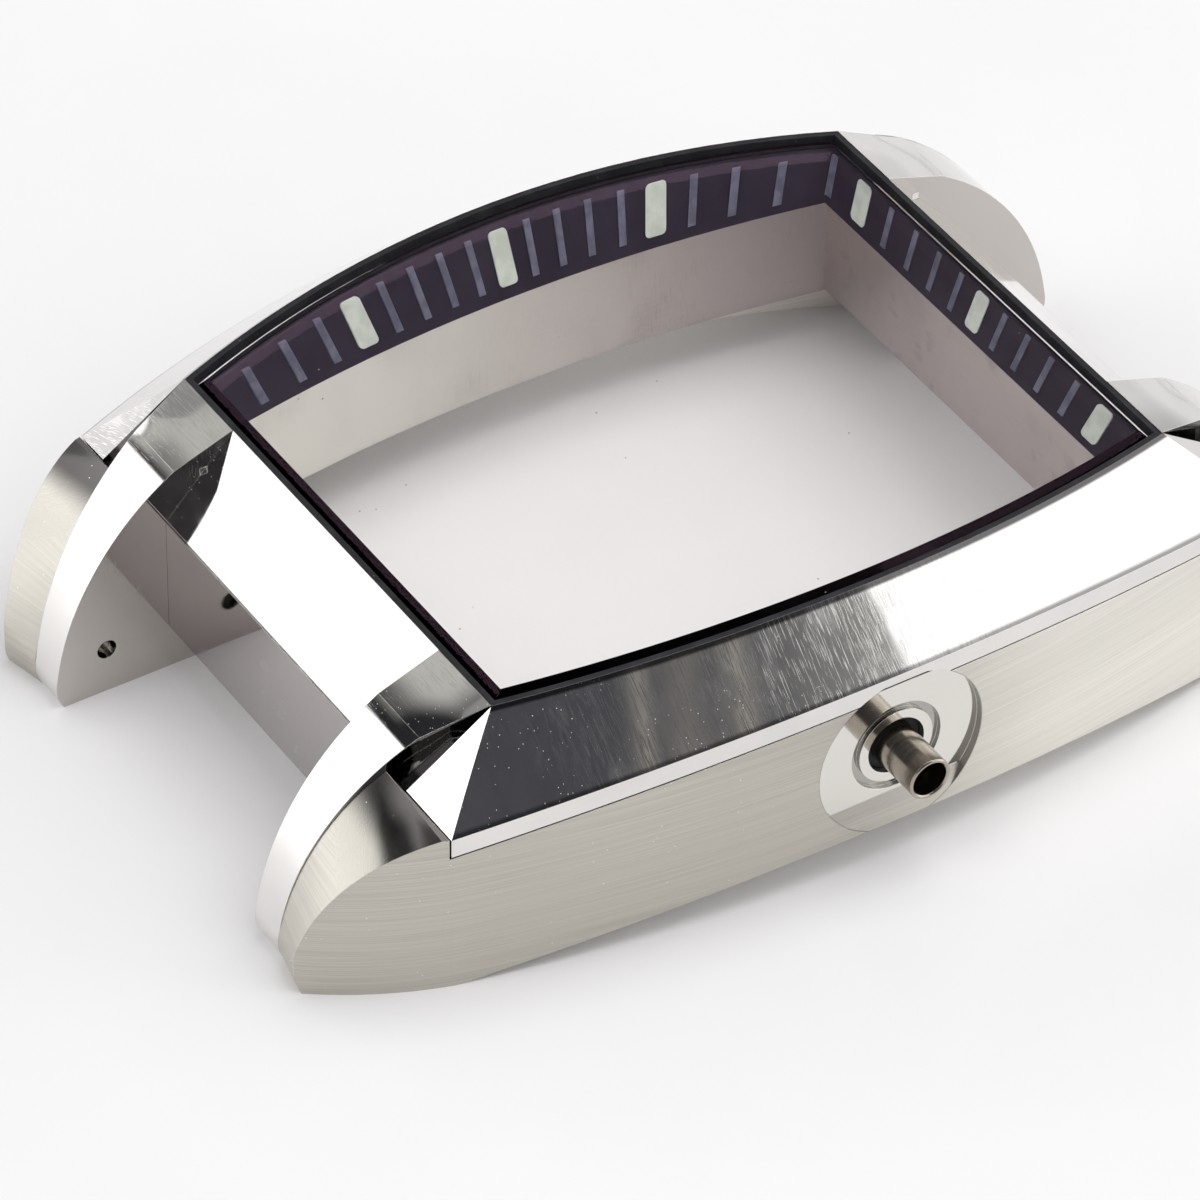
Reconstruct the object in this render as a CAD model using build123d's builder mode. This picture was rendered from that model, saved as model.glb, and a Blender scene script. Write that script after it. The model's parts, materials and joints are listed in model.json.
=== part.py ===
from build123d import *
import os
from math import cos, radians, sin, sqrt

# Empty wristwatch case, long curved type. Lengths are in millimetres.
# Z is up, Y points to twelve o'clock and X to the crown.
# The origin is the centre of the case back's seat.

os.makedirs("parts", exist_ok=True)

# Clearances shared by all pieces
fit_gap = 0.02
seam_gap = 0.08
cut_overrun = 30.0

# Mouth of the flange, which the movement and dial look through
opening_half_width = 12.1
opening_half_length = 16.45
opening_bulge = 1.7

# Flange ring, its slope runs out from the mouth to the glass
flange_side_run = 1.3
flange_end_run = 1.55
flange_bulge_run = 1.05
flange_rim = 0.15
flange_glass_gap = 0.05

# Marks on the flange
mark_thickness = 0.06
hour_block_width = 1.0
hour_block_corner = 0.22
minute_mark_width = 0.36
mark_length_share = 0.74
mark_place_share = 0.54
minutes = 60
minutes_per_hour = 5
minute_angle = 6.0

# Glass, measured at its top edge
glass_half_width = opening_half_width + flange_side_run
glass_half_length = opening_half_length + flange_end_run
glass_side_bulge = opening_bulge + flange_bulge_run
glass_corner_height = 10.1
glass_arch = 1.05
glass_thickness = 1.6
glass_edge_bevel = 0.55

# Glass gasket, an L in section
gasket_wall = 0.3
gasket_foot_thickness = 0.28
gasket_foot_width = 0.5
gasket_recess = 0.03

# Case middle
dial_ledge = 0.4
middle_top = 6.2
middle_collar_height = 0.25
middle_side_margin = 0.05
middle_corner_inset = 0.1
middle_end_margin = 1.8
middle_end_block = 1.85
middle_half_width = glass_half_width + glass_side_bulge + middle_side_margin
middle_corner_x = glass_half_width - middle_corner_inset
middle_corner_y = glass_half_length + middle_end_margin
middle_end_y = middle_corner_y + middle_end_block
cavity_half_width = opening_half_width + dial_ledge
cavity_half_length = opening_half_length + dial_ledge

# Case back seat, a shallow step with four tapped holes
back_step_depth = 0.7
back_step_width = 0.5
back_screw_radius = 0.7
back_screw_depth = 2.2
back_screw_side_inset = 1.1
back_screw_end_margin = 1.95
back_screw_x = opening_half_width - back_screw_side_inset
back_screw_y = opening_half_length + back_screw_end_margin

# Bezel
cheek_thickness = 3.1
bezel_end_margin = 2.1
strip_middle_height = 8.2
strip_corner_height = 6.27
strip_height = 1.0
facet_slant = 0.5
facet_inner_height = 7.2
facet_recess_depth = 0.9
end_slope_inset = 0.05
end_slope_height = 6.3
glass_seat_width = 0.55
bezel_lofts = 9
bezel_loft_overrun = 0.5
bezel_half_width = middle_half_width + cheek_thickness
bezel_corner_x = middle_corner_x + cheek_thickness
bezel_corner_y = middle_corner_y + bezel_end_margin
facet_inner_y = bezel_corner_y + facet_slant
end_slope_y = middle_end_y - end_slope_inset

# Lugs, measured out from the glass and from the strap gap
lug_gap = 18.0
foot_height = -2.4
lug_crease_reach = 3.15
lug_crease_height = 9.0
lug_middle_reach = 3.83
lug_middle_height = 5.55
lug_tip_reach = 6.45
lug_tip_height = -0.75
lug_toe_inset = 0.02
lug_toe_height = -1.8
lug_foot_inset = 0.3
lug_crease_width = 3.5
lug_tip_width = 2.0
tongue_underside = 8.6
bezel_core_width = 1.0
lug_crease_y = glass_half_length + lug_crease_reach
lug_middle_y = lug_crease_y + lug_middle_reach
lug_tip_y = lug_crease_y + lug_tip_reach
lug_toe_y = lug_tip_y - lug_toe_inset
lug_foot_y = lug_tip_y - lug_foot_inset
lug_crease_x = lug_gap / 2 + lug_crease_width
lug_tip_x = lug_gap / 2 + lug_tip_width
bezel_core_x = lug_gap / 2 + bezel_core_width

# Spring bar holes
bar_hole_radius = 0.5
bar_hole_depth = 1.4
bar_hole_inset = 2.65
bar_hole_height = 0.05
bar_hole_y = lug_tip_y - bar_hole_inset

# Side cheeks, ruled between an inner and an outer side view
# Each point is a reach beyond the bezel's corner and a height
cheek_plane_margin = 0.1
cheek_inner_shoulder = (0.9, 7.9)
cheek_inner_middle = (3.8, 4.3)
cheek_inner_tip = (5.6, -0.4)
cheek_inner_toe = (5.66, -1.75)
cheek_inner_foot = 5.4
cheek_outer_shoulder = (0.1, 5.4)
cheek_outer_middle = (5.1, 3.7)
cheek_outer_tip = (7.7, 1.1)
cheek_outer_toe = (7.7, -1.2)
cheek_outer_foot = 7.3
cheek_riser_inset = 1.0
cheek_belly_inset = 0.4
cheek_belly_height = -0.55
cheek_lug_middle_inset = 1.35
cheek_lug_middle_reach = 3.2
cheek_lug_tip_inset = 3.3
cheek_lug_tip_reach = 6.2
cheek_inner_plane = lug_tip_x - cheek_plane_margin
cheek_outer_plane = bezel_half_width + cheek_plane_margin
cheek_riser_y = bezel_corner_y - cheek_riser_inset
cheek_belly_y = bezel_corner_y - cheek_belly_inset
cheek_lug_middle_x = bezel_corner_x - cheek_lug_middle_inset
cheek_lug_middle_y = bezel_corner_y + cheek_lug_middle_reach
cheek_lug_tip_x = bezel_corner_x - cheek_lug_tip_inset
cheek_lug_tip_y = bezel_corner_y + cheek_lug_tip_reach

# Crown tube and the round pocket in the cheek
tube_height = 3.5
tube_radius = 1.08
tube_bore_radius = 0.88
tube_reach = 2.25
tube_lip_bevel = 0.06
pocket_radius = 4.38
pocket_depth = 0.5
pocket_ramp_margin = 0.15
pocket_ramp_length = 0.9
seal_well_radius = 1.5
seal_well_depth = 1.2
seal_thickness = 0.8
groove_inner_radius = 1.98
groove_outer_radius = 2.4
groove_depth = 0.25
tube_inner_end = cavity_half_width + opening_bulge
tube_outer_end = bezel_half_width + tube_reach
pocket_floor_x = bezel_half_width - pocket_depth
pocket_ramp_top = tube_height - groove_outer_radius - pocket_ramp_margin
pocket_ramp_foot = pocket_ramp_top - 2 * pocket_ramp_length

# Bezel gasket in its groove on top of the case middle
bezel_gasket_outer = 0.15
bezel_gasket_inner = 0.5
bezel_gasket_height = 0.3

# Screws
screw_head_radius = 1.05
screw_head_height = 0.7
screw_head_recess = 0.9
screw_shank_radius = 0.55
screw_slot_width = 0.3
screw_slot_depth = 0.3
middle_screw_side_inset = 3.0
middle_screw_end_inset = 0.5
middle_screw_tip = 7.6
cheek_screw_side_inset = 1.2
cheek_screw_end_inset = 2.3
cheek_screw_tip = 7.2
cheek_screw_head_height = -0.9
middle_screw_x = lug_gap / 2 - middle_screw_side_inset
middle_screw_y = middle_corner_y - middle_screw_end_inset
cheek_screw_x = bezel_corner_x - cheek_screw_side_inset
cheek_screw_y = bezel_corner_y - cheek_screw_end_inset

# Dowels
dowel_radius = 0.6
cheek_dowel_place_share = 0.45
cheek_dowel_height = 2.8
cheek_dowel_inset = 1.7
cheek_dowel_length = 2.7
lug_dowel_reach = 1.55
lug_dowel_low = 0.9
lug_dowel_high = 4.6
lug_dowel_cover = 1.8
lug_dowel_length = 3.2
cheek_dowel_y = cheek_dowel_place_share * middle_corner_y
cheek_dowel_start = middle_half_width - cheek_dowel_inset
cheek_dowel_end = cheek_dowel_start + cheek_dowel_length
lug_dowel_y = lug_crease_y + lug_dowel_reach
lug_dowel_start = lug_gap / 2 + lug_dowel_cover
lug_dowel_end = lug_dowel_start + lug_dowel_length


def arc_radius(rise, half_chord):
    """Radius of the arc that rises this much over half its chord"""
    return (half_chord**2 + rise**2) / (2 * rise)


def along_arc(middle, end, half_chord, place):
    """Value at a place along the arc from its middle to its end"""
    radius = arc_radius(middle - end, half_chord)
    return middle - radius + sqrt(radius**2 - place**2)


# Height and half width of the glass edge along the case
glass_middle_height = glass_corner_height + glass_arch
glass_middle_width = glass_half_width + glass_side_bulge


def glass_height(y):
    """Height of the glass edge at a place along the case"""
    return along_arc(glass_middle_height, glass_corner_height, glass_half_length, y)


def glass_width(y):
    """Half width of the glass edge at a place along the case"""
    return along_arc(glass_middle_width, glass_half_width, glass_half_length, y)


def bezel_width(y):
    """Half width of the bezel's upright strip at a place along the case"""
    return along_arc(bezel_half_width, bezel_corner_x, bezel_corner_y, y)


def strip_top(y):
    """Height of the upper edge of the strip at a place along the case"""
    return along_arc(strip_middle_height, strip_corner_height, bezel_corner_y, y)


def strip_foot(y):
    """Height of the lower edge of the strip at a place along the case"""
    return strip_top(y) - strip_height


def lug_side(y):
    """Distance from the middle plane to the outer side of a lug"""
    if y < lug_crease_y:
        slant = (glass_half_width - fit_gap - lug_crease_x) / (lug_crease_y - glass_half_length)
    else:
        slant = (lug_crease_x - lug_tip_x) / (lug_tip_y - lug_crease_y)
    return lug_crease_x - slant * (y - lug_crease_y)


def bulged_outline(half_width, half_length, bulge):
    """Rectangle with arched long sides"""
    with BuildSketch() as outline:
        with BuildLine():
            ThreePointArc((half_width, -half_length), (half_width + bulge, 0), (half_width, half_length))
            Line((half_width, half_length), (-half_width, half_length))
            ThreePointArc((-half_width, half_length), (-half_width - bulge, 0), (-half_width, -half_length))
            Line((-half_width, -half_length), (half_width, -half_length))
        make_face()
    return outline.sketch


def glass_outline(inset):
    """Outline of the glass moved inwards by an inset"""
    side_radius = arc_radius(glass_side_bulge, glass_half_length) - inset
    end_y = glass_half_length - inset
    middle_x = glass_middle_width - inset
    end_x = middle_x - side_radius + sqrt(side_radius**2 - end_y**2)
    return bulged_outline(end_x, end_y, middle_x - end_x)


def arched_band(upper_depth, lower_depth):
    """Side view of a layer that follows the arch of the glass"""
    reach = cut_overrun
    end_height = glass_height(reach)
    top_ends = end_height - upper_depth
    low_ends = end_height - lower_depth
    with BuildSketch() as band:
        with BuildLine():
            ThreePointArc((-reach, top_ends), (0, glass_middle_height - upper_depth), (reach, top_ends))
            Line((reach, top_ends), (reach, low_ends))
            ThreePointArc((reach, low_ends), (0, glass_middle_height - lower_depth), (-reach, low_ends))
            Line((-reach, low_ends), (-reach, top_ends))
        make_face()
    return band.sketch


# Depths below the glass edge
gasket_foot_top = glass_thickness + fit_gap
glass_seat_depth = gasket_foot_top + gasket_foot_thickness + fit_gap
flange_top_depth = glass_thickness + flange_glass_gap
flange_inset = glass_seat_width + fit_gap
flange_foot_height = middle_top + middle_collar_height
tall = glass_middle_height + cut_overrun

# Space that the glass and its gasket take out of the bezel
with BuildPart() as glass_recess:
    with BuildSketch():
        add(glass_outline(0))
    extrude(amount=tall)
    with BuildSketch(Plane.YZ):
        add(arched_band(-cut_overrun, glass_seat_depth))
    extrude(amount=cut_overrun, both=True, mode=Mode.INTERSECT)
    with BuildSketch():
        add(glass_outline(glass_seat_width))
    extrude(amount=tall)

# Waste beyond the mitred end facets of the bezel, one for each corner
facet_corner = Vector(glass_half_width, glass_half_length, glass_corner_height)
facet_left = Vector(glass_half_width, facet_inner_y, facet_inner_height) - facet_corner
facet_right = Vector(bezel_corner_x, bezel_corner_y, strip_corner_height) - facet_corner
facet_plane = Plane(origin=facet_corner, x_dir=facet_left, z_dir=facet_right.cross(facet_left))
end_slant = (facet_inner_y - bezel_corner_y) / (bezel_corner_x - glass_half_width)


def end_line(x, gap):
    """Place of the bezel's upright end at a distance from the middle plane"""
    return bezel_corner_y + end_slant * (bezel_corner_x - x) + gap


with BuildPart() as bezel_end_waste:
    with BuildSketch(facet_plane):
        Rectangle(cut_overrun / 2, cut_overrun / 2)
    extrude(amount=cut_overrun)
    with BuildSketch():
        Polygon(
            (0, end_line(0, 0)),
            (cut_overrun, end_line(cut_overrun, 0)),
            (cut_overrun, tall),
            (0, tall),
            align=None,
        )
    extrude(amount=tall)
    with BuildSketch(Plane.YZ):
        Polygon(
            (middle_corner_y, tongue_underside - fit_gap),
            (facet_inner_y, facet_inner_height - facet_recess_depth),
            (cut_overrun, facet_inner_height - facet_recess_depth),
            (cut_overrun, tall),
            (middle_corner_y, tall),
            align=None,
        )
    extrude(amount=glass_half_width + fit_gap)
    mirror(about=Plane.XZ)
    mirror(about=Plane.YZ)

# Round space of the crown's pocket, whose floor runs out to the flank at its lower end
with BuildPart() as crown_pocket:
    with BuildSketch(Plane.YZ.offset(pocket_floor_x)):
        with Locations((0, tube_height)):
            Circle(pocket_radius)
    extrude(amount=cut_overrun)
    with BuildSketch(Plane.XZ):
        Polygon(
            (pocket_floor_x, pocket_ramp_top),
            (pocket_floor_x + 2 * pocket_depth, pocket_ramp_foot),
            (cut_overrun, -cut_overrun),
            (pocket_floor_x, -cut_overrun),
            align=None,
        )
    extrude(amount=cut_overrun, both=True, mode=Mode.SUBTRACT)

# Bezel, notched at its four corners for the lug bands and their tongues
notch_inner_x = lug_gap / 2 - fit_gap
notch_outer_x = glass_half_width + fit_gap

with BuildPart() as bezel:
    loft_reach = facet_inner_y + bezel_loft_overrun
    loft_step = 2 * loft_reach / (bezel_lofts - 1)
    for number in range(bezel_lofts):
        y = -loft_reach + number * loft_step
        with BuildSketch(Plane.XZ.offset(-y)):
            with BuildLine():
                Polyline(
                    (glass_width(y), glass_height(y)),
                    (bezel_width(y), strip_top(y)),
                    (bezel_width(y), strip_foot(y)),
                    (bezel_core_x, strip_foot(y)),
                    (bezel_core_x, glass_height(y)),
                    close=True,
                )
            make_face()
    loft()
    add(bezel_end_waste.part, mode=Mode.SUBTRACT)
    with BuildSketch():
        add(bulged_outline(middle_corner_x, middle_corner_y, middle_half_width - middle_corner_x))
    extrude(amount=middle_top, mode=Mode.SUBTRACT)
    mirror(about=Plane.YZ)
    with BuildSketch(Plane.XY.offset(middle_top)):
        add(bulged_outline(middle_corner_x, middle_corner_y, middle_half_width - middle_corner_x))
    extrude(amount=tongue_underside - fit_gap - middle_top)
    with BuildSketch(Plane.YZ):
        with BuildLine():
            Polyline(
                (0, middle_top),
                (end_slope_y, middle_top),
                (end_slope_y, end_slope_height),
                (glass_half_length, glass_corner_height),
                (0, glass_corner_height),
                close=True,
            )
        make_face()
        mirror(about=Plane.YZ)
    extrude(amount=notch_inner_x, both=True)
    with BuildSketch(Plane.YZ):
        Polygon(
            (glass_half_length, glass_corner_height),
            (end_slope_y, end_slope_height),
            (end_slope_y, glass_corner_height),
            align=None,
        )
        mirror(about=Plane.YZ)
    extrude(amount=lug_gap / 2, both=True, mode=Mode.SUBTRACT)
    with BuildSketch(Plane.XY.offset(tongue_underside - fit_gap)):
        with GridLocations(notch_inner_x + notch_outer_x, 2 * glass_half_length + cut_overrun, 2, 2):
            Rectangle(notch_outer_x - notch_inner_x, cut_overrun)
    extrude(amount=tall, mode=Mode.SUBTRACT)
    with BuildSketch():
        Polygon(
            (notch_inner_x, middle_corner_y),
            (lug_side(middle_corner_y) + fit_gap, middle_corner_y),
            (lug_crease_x + fit_gap, lug_crease_y),
            (lug_side(cut_overrun) + fit_gap, cut_overrun),
            (notch_inner_x, cut_overrun),
            align=None,
        )
        mirror(about=Plane.XZ)
        mirror(about=Plane.YZ)
    extrude(amount=tall, mode=Mode.SUBTRACT)
    add(glass_recess.part, mode=Mode.SUBTRACT)
    add(crown_pocket.part, mode=Mode.SUBTRACT)
    with BuildSketch(Plane.XY):
        with GridLocations(2 * middle_screw_x, 2 * middle_screw_y, 2, 2):
            Circle(screw_shank_radius + fit_gap)
    extrude(amount=middle_screw_tip + fit_gap, mode=Mode.SUBTRACT)
    with BuildSketch(Plane.XY):
        with GridLocations(2 * cheek_screw_x, 2 * cheek_screw_y, 2, 2):
            Circle(screw_shank_radius + fit_gap)
    extrude(amount=cheek_screw_tip + fit_gap, mode=Mode.SUBTRACT)
bezel.part.label = "bezel"
export_step(bezel.part, "parts/bezel.step")

# Case middle, the container of the movement
# Its collar carries the flange, whose narrower foot stays free as a seat for the dial
with BuildPart() as case_middle:
    with BuildSketch():
        add(bulged_outline(middle_corner_x, middle_corner_y, middle_half_width - middle_corner_x))
    extrude(amount=middle_top)
    with BuildSketch():
        Rectangle(lug_gap - 2 * fit_gap, 2 * middle_end_y)
    extrude(amount=middle_top)
    with BuildSketch():
        add(glass_outline(flange_inset))
    extrude(amount=flange_foot_height)
    with BuildSketch():
        add(bulged_outline(cavity_half_width, cavity_half_length, opening_bulge))
    extrude(amount=flange_foot_height, mode=Mode.SUBTRACT)
    with BuildSketch():
        add(
            bulged_outline(
                cavity_half_width + back_step_width,
                cavity_half_length + back_step_width,
                opening_bulge,
            )
        )
    extrude(amount=back_step_depth, mode=Mode.SUBTRACT)
    with BuildSketch(Plane.XY.offset(middle_top - bezel_gasket_height)):
        add(glass_outline(bezel_gasket_outer))
        add(glass_outline(bezel_gasket_inner), mode=Mode.SUBTRACT)
    extrude(amount=bezel_gasket_height, mode=Mode.SUBTRACT)
    with BuildSketch():
        with GridLocations(2 * back_screw_x, 2 * back_screw_y, 2, 2):
            Circle(back_screw_radius)
    extrude(amount=back_screw_depth, mode=Mode.SUBTRACT)
    with BuildSketch():
        with GridLocations(2 * middle_screw_x, 2 * middle_screw_y, 2, 2):
            Circle(screw_shank_radius + fit_gap)
    extrude(amount=middle_top, mode=Mode.SUBTRACT)
    with BuildSketch():
        with GridLocations(2 * middle_screw_x, 2 * middle_screw_y, 2, 2):
            Circle(screw_head_radius + fit_gap)
    extrude(amount=screw_head_recess, mode=Mode.SUBTRACT)
    with BuildSketch(Plane.YZ):
        with Locations((0, tube_height)):
            Circle(tube_radius + fit_gap)
    extrude(amount=cut_overrun, mode=Mode.SUBTRACT)
    with BuildSketch(Plane.YZ.offset(cheek_dowel_start)):
        with Locations((cheek_dowel_y, cheek_dowel_height), (-cheek_dowel_y, cheek_dowel_height)):
            Circle(dowel_radius + fit_gap)
    extrude(amount=cut_overrun, mode=Mode.SUBTRACT)
    with BuildSketch(Plane.YZ.offset(-cheek_dowel_start)):
        with Locations((cheek_dowel_y, cheek_dowel_height), (-cheek_dowel_y, cheek_dowel_height)):
            Circle(dowel_radius + fit_gap)
    extrude(amount=-cut_overrun, mode=Mode.SUBTRACT)
case_middle.part.label = "case_middle"
export_step(case_middle.part, "parts/case_middle.step")


def cheek_profile(shoulder, middle, tip, toe, foot):
    """Side view of a cheek, from its belly to its two lugs"""
    shoulder_y = bezel_corner_y + shoulder[0]
    middle_y = bezel_corner_y + middle[0]
    tip_y = bezel_corner_y + tip[0]
    toe_y = bezel_corner_y + toe[0]
    foot_y = bezel_corner_y + foot
    with BuildSketch() as profile:
        with BuildLine():
            for side in (1, -1):
                ThreePointArc(
                    (side * shoulder_y, shoulder[1]),
                    (side * middle_y, middle[1]),
                    (side * tip_y, tip[1]),
                )
                ThreePointArc((side * tip_y, tip[1]), (side * toe_y, toe[1]), (side * foot_y, foot_height))
                Line((side * foot_y, foot_height), (side * cheek_belly_y, foot_height))
            ThreePointArc(
                (cheek_belly_y, foot_height),
                (0, cheek_belly_height),
                (-cheek_belly_y, foot_height),
            )
            Polyline(
                (shoulder_y, shoulder[1]),
                (cheek_riser_y, shoulder[1]),
                (cheek_riser_y, glass_middle_height),
                (-cheek_riser_y, glass_middle_height),
                (-cheek_riser_y, shoulder[1]),
                (-shoulder_y, shoulder[1]),
            )
        make_face()
    return profile.sketch


# Space that the bezel takes out of a cheek, with the seam all round
with BuildPart() as bezel_pocket:
    with BuildSketch():
        Polygon(
            (0, end_line(0, seam_gap)),
            (cut_overrun, end_line(cut_overrun, seam_gap)),
            (cut_overrun, 0),
            (0, 0),
            align=None,
        )
        mirror(about=Plane.XZ)
    extrude(amount=tall)
    with BuildSketch(Plane.YZ):
        with BuildLine():
            ThreePointArc(
                (-bezel_corner_y, strip_foot(bezel_corner_y) - seam_gap),
                (0, strip_foot(0) - seam_gap),
                (bezel_corner_y, strip_foot(bezel_corner_y) - seam_gap),
            )
            Polyline(
                (bezel_corner_y, strip_foot(bezel_corner_y) - seam_gap),
                (cut_overrun, strip_foot(bezel_corner_y) - seam_gap),
                (cut_overrun, tall),
                (-cut_overrun, tall),
                (-cut_overrun, strip_foot(bezel_corner_y) - seam_gap),
                (-bezel_corner_y, strip_foot(bezel_corner_y) - seam_gap),
            )
        make_face()
    extrude(amount=cut_overrun, mode=Mode.INTERSECT)

# Side cheek with its two outer lug halves, before the crown's pocket is cut
with BuildPart() as plain_cheek:
    with BuildSketch(Plane.YZ.offset(cheek_inner_plane)):
        add(
            cheek_profile(
                cheek_inner_shoulder,
                cheek_inner_middle,
                cheek_inner_tip,
                cheek_inner_toe,
                cheek_inner_foot,
            )
        )
    with BuildSketch(Plane.YZ.offset(cheek_outer_plane)):
        add(
            cheek_profile(
                cheek_outer_shoulder,
                cheek_outer_middle,
                cheek_outer_tip,
                cheek_outer_toe,
                cheek_outer_foot,
            )
        )
    loft(ruled=True)
    with BuildSketch(Plane.XY.offset(foot_height)):
        with BuildLine():
            for side in (1, -1):
                Polyline(
                    (middle_corner_x + fit_gap, side * (middle_corner_y + fit_gap)),
                    (lug_side(middle_corner_y) + fit_gap, side * (middle_corner_y + fit_gap)),
                    (lug_crease_x + fit_gap, side * lug_crease_y),
                    (lug_side(cheek_lug_tip_y) + fit_gap, side * cheek_lug_tip_y),
                    (cheek_lug_tip_x, side * cheek_lug_tip_y),
                )
                ThreePointArc(
                    (cheek_lug_tip_x, side * cheek_lug_tip_y),
                    (cheek_lug_middle_x, side * cheek_lug_middle_y),
                    (bezel_corner_x, side * bezel_corner_y),
                )
            ThreePointArc(
                (bezel_corner_x, bezel_corner_y),
                (bezel_half_width, 0),
                (bezel_corner_x, -bezel_corner_y),
            )
            ThreePointArc(
                (middle_corner_x + fit_gap, middle_corner_y + fit_gap),
                (middle_half_width + fit_gap, 0),
                (middle_corner_x + fit_gap, -middle_corner_y - fit_gap),
            )
        make_face()
    extrude(amount=tall, mode=Mode.INTERSECT)
    add(bezel_pocket.part, mode=Mode.SUBTRACT)
    with BuildSketch(Plane.XY.offset(foot_height)):
        with Locations((cheek_screw_x, cheek_screw_y), (cheek_screw_x, -cheek_screw_y)):
            Circle(screw_shank_radius + fit_gap)
    extrude(amount=tall, mode=Mode.SUBTRACT)
    with BuildSketch(Plane.XY.offset(foot_height)):
        with Locations((cheek_screw_x, cheek_screw_y), (cheek_screw_x, -cheek_screw_y)):
            Circle(screw_head_radius + fit_gap)
    extrude(amount=cheek_screw_head_height - foot_height, mode=Mode.SUBTRACT)
    with BuildSketch(Plane.YZ):
        with Locations((cheek_dowel_y, cheek_dowel_height), (-cheek_dowel_y, cheek_dowel_height)):
            Circle(dowel_radius + fit_gap)
    extrude(amount=cheek_dowel_end + fit_gap, mode=Mode.SUBTRACT)
    with BuildSketch(Plane.YZ):
        with Locations(
            (lug_dowel_y, lug_dowel_low),
            (lug_dowel_y, lug_dowel_high),
            (-lug_dowel_y, lug_dowel_low),
            (-lug_dowel_y, lug_dowel_high),
        ):
            Circle(dowel_radius + fit_gap)
    extrude(amount=lug_dowel_end + fit_gap, mode=Mode.SUBTRACT)

# Left cheek
with BuildPart() as cheek_left:
    mirror(plain_cheek.part, about=Plane.YZ)
cheek_left.part.label = "cheek_left"
export_step(cheek_left.part, "parts/cheek_left.step")

# Right cheek with the crown's round pocket
with BuildPart() as cheek_right:
    add(plain_cheek.part)
    add(crown_pocket.part, mode=Mode.SUBTRACT)
    with BuildSketch(Plane.YZ.offset(pocket_floor_x)):
        with Locations((0, tube_height)):
            Circle(groove_outer_radius)
            Circle(groove_inner_radius, mode=Mode.SUBTRACT)
    extrude(amount=-groove_depth, mode=Mode.SUBTRACT)
    with BuildSketch(Plane.YZ.offset(pocket_floor_x)):
        with Locations((0, tube_height)):
            Circle(seal_well_radius)
    extrude(amount=-seal_well_depth, mode=Mode.SUBTRACT)
    with BuildSketch(Plane.YZ):
        with Locations((0, tube_height)):
            Circle(tube_radius + fit_gap)
    extrude(amount=cut_overrun, mode=Mode.SUBTRACT)
cheek_right.part.label = "cheek_right"
export_step(cheek_right.part, "parts/cheek_right.step")

# Polished lug band, the one at twelve o'clock on the crown's side
with BuildPart() as lug_band_12_right:
    with BuildSketch(Plane.YZ.offset(lug_gap / 2)):
        with BuildLine():
            Line((glass_half_length + fit_gap, glass_corner_height), (lug_crease_y, lug_crease_height))
            ThreePointArc(
                (lug_crease_y, lug_crease_height),
                (lug_middle_y, lug_middle_height),
                (lug_tip_y, lug_tip_height),
            )
            ThreePointArc(
                (lug_tip_y, lug_tip_height),
                (lug_toe_y, lug_toe_height),
                (lug_foot_y, foot_height),
            )
            Polyline(
                (lug_foot_y, foot_height),
                (middle_corner_y + fit_gap, foot_height),
                (middle_corner_y + fit_gap, tongue_underside),
                (glass_half_length + fit_gap, tongue_underside),
                (glass_half_length + fit_gap, glass_corner_height),
            )
        make_face()
    extrude(amount=cut_overrun)
    with BuildSketch(Plane.XY.offset(foot_height)):
        Polygon(
            (lug_gap / 2, glass_half_length),
            (lug_side(glass_half_length), glass_half_length),
            (lug_crease_x, lug_crease_y),
            (lug_side(cut_overrun), cut_overrun),
            (lug_gap / 2, cut_overrun),
            align=None,
        )
    extrude(amount=tall, mode=Mode.INTERSECT)
    with BuildSketch(Plane.YZ.offset(lug_gap / 2)):
        with Locations((bar_hole_y, bar_hole_height)):
            Circle(bar_hole_radius)
    extrude(amount=bar_hole_depth, mode=Mode.SUBTRACT)
    with BuildSketch(Plane.YZ.offset(lug_dowel_start - fit_gap)):
        with Locations((lug_dowel_y, lug_dowel_low), (lug_dowel_y, lug_dowel_high)):
            Circle(dowel_radius + fit_gap)
    extrude(amount=cut_overrun, mode=Mode.SUBTRACT)
lug_band_12_right.part.label = "lug_band_12_right"
export_step(lug_band_12_right.part, "parts/lug_band_12_right.step")

# The other three lug bands are mirror images
with BuildPart() as lug_band_12_left:
    mirror(lug_band_12_right.part, about=Plane.YZ)
lug_band_12_left.part.label = "lug_band_12_left"
export_step(lug_band_12_left.part, "parts/lug_band_12_left.step")

with BuildPart() as lug_band_6_right:
    mirror(lug_band_12_right.part, about=Plane.XZ)
lug_band_6_right.part.label = "lug_band_6_right"
export_step(lug_band_6_right.part, "parts/lug_band_6_right.step")

with BuildPart() as lug_band_6_left:
    mirror(lug_band_12_left.part, about=Plane.XZ)
lug_band_6_left.part.label = "lug_band_6_left"
export_step(lug_band_6_left.part, "parts/lug_band_6_left.step")

# Crystal
with BuildPart() as crystal:
    with BuildSketch():
        add(glass_outline(gasket_wall + fit_gap))
    extrude(amount=tall)
    with BuildSketch(Plane.YZ):
        add(arched_band(0, glass_thickness))
    extrude(amount=cut_overrun, both=True, mode=Mode.INTERSECT)
    chamfer(crystal.faces().sort_by(Axis.Z)[-1].edges(), length=glass_edge_bevel)
crystal.part.label = "crystal"
export_step(crystal.part, "parts/crystal.step")

# Crystal gasket, the wall round the glass and the foot under its edge
with BuildPart() as gasket_wall_ring:
    with BuildSketch():
        add(glass_outline(fit_gap))
        add(glass_outline(gasket_wall), mode=Mode.SUBTRACT)
    extrude(amount=tall)
    with BuildSketch(Plane.YZ):
        add(arched_band(gasket_recess, glass_seat_depth - fit_gap))
    extrude(amount=cut_overrun, both=True, mode=Mode.INTERSECT)

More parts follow.
